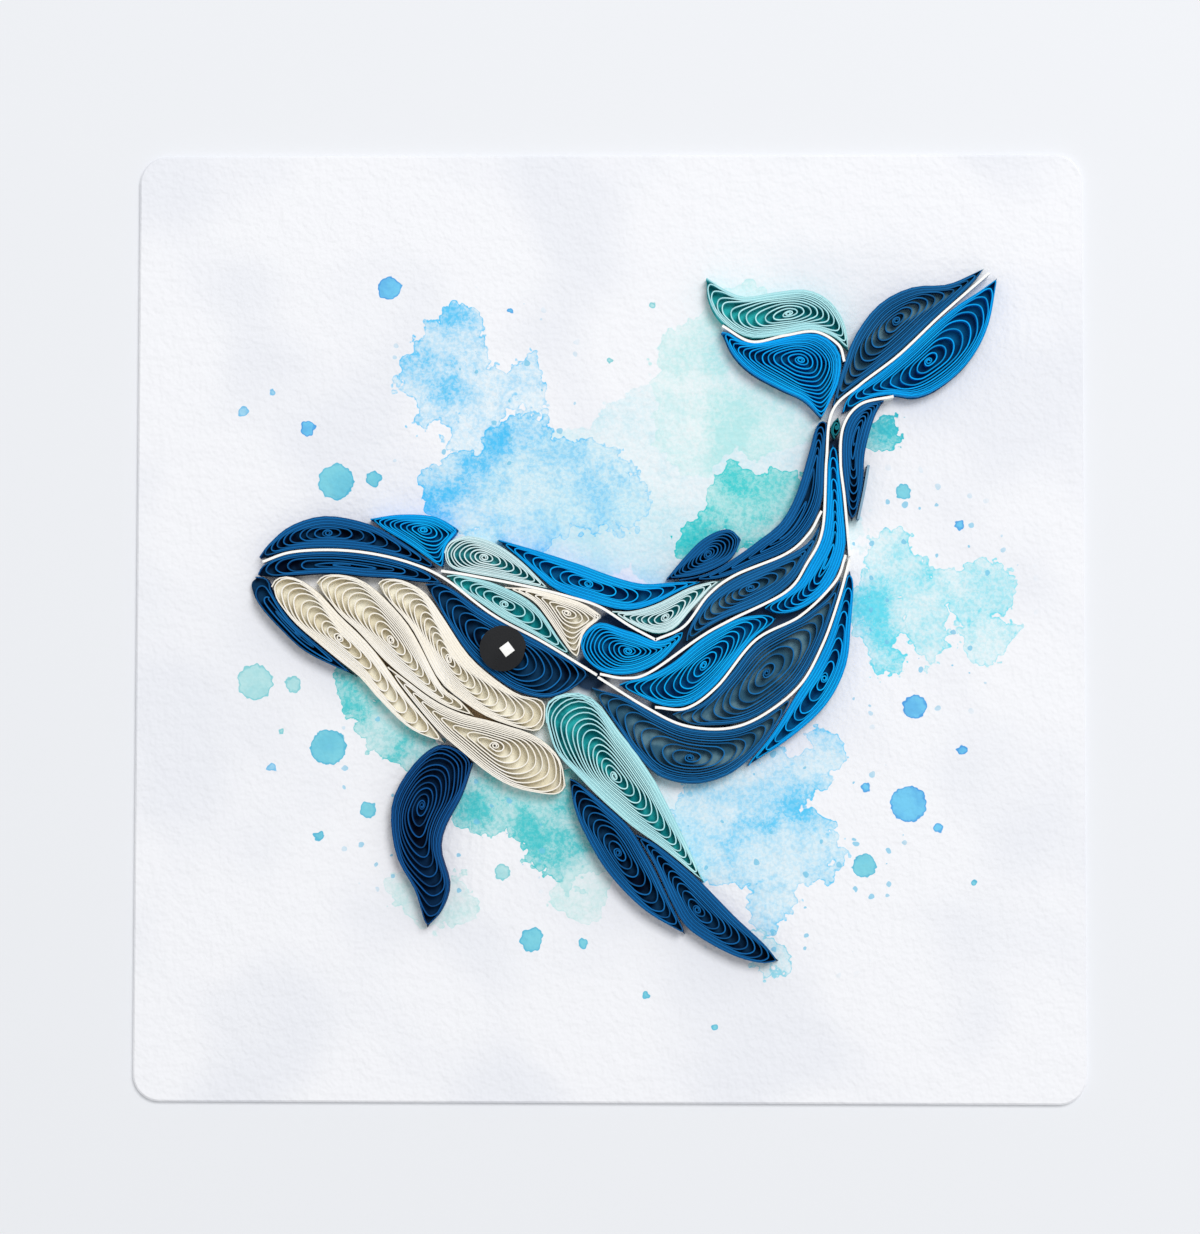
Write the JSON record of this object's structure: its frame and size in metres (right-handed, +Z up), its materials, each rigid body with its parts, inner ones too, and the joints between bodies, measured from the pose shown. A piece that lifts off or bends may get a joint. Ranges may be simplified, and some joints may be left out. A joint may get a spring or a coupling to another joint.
{
  "type": "quilled paper art",
  "caption": "Square white card with a whale picture built on it from rolled and shaped paper strips standing on edge.",
  "frame": {"origin": "middle of the card's underside", "axes": "+Z up out of the picture, +X to the picture's right, +Y to the picture's top"},
  "size_m": [0.15, 0.15, 0.0055],
  "materials": {
    "card_white": "rough watercolour board",
    "paper_aqua": "matt",
    "paper_black": "matt",
    "paper_blue": "matt",
    "paper_cream": "matt",
    "paper_grey_blue": "matt",
    "paper_navy": "matt",
    "paper_teal": "matt",
    "paper_white": "matt"
  },
  "bodies": {
    "root": {"aqua_back": "paper_aqua", "aqua_brow": "paper_aqua", "aqua_cheek": "paper_aqua", "back_line": "paper_white", "belly_line": "paper_white", "belly_navy": "paper_navy", "blue_mid": "paper_blue", "brow_line": "paper_white", "bud_line": "paper_grey_blue", "card": "card_white", "cheek_cream": "paper_cream", "dorsal_blue": "paper_blue", "dorsal_fin": "paper_navy", "eye": "paper_black", "eye_patch": "paper_navy", "flank_blue": "paper_blue", "flank_line": "paper_white", "flipper_aqua": "paper_aqua", "flipper_left": "paper_navy", "flipper_navy_left": "paper_navy", "flipper_navy_right": "paper_navy", "fluke_left_aqua": "paper_aqua", "fluke_left_blue": "paper_blue", "fluke_line": "paper_white", "fluke_right_blue": "paper_blue", "fluke_right_navy": "paper_navy", "glint": "paper_white", "lower_jaw": "paper_navy", "mouth_line": "paper_white", "navy_back": "paper_navy", "navy_flank": "paper_navy", "saddle_blue": "paper_blue", "snout_blue": "paper_blue", "spine_line": "paper_white", "tail_blue": "paper_blue", "tail_bud": "paper_navy", "tail_edge_line": "paper_white", "tail_filler": "paper_teal", "tail_navy": "paper_navy", "throat_1": "paper_cream", "throat_2": "paper_cream", "throat_3": "paper_cream", "throat_4": "paper_cream", "upper_jaw": "paper_navy", "upper_lip": "paper_navy"}
  },
  "joints": []
}
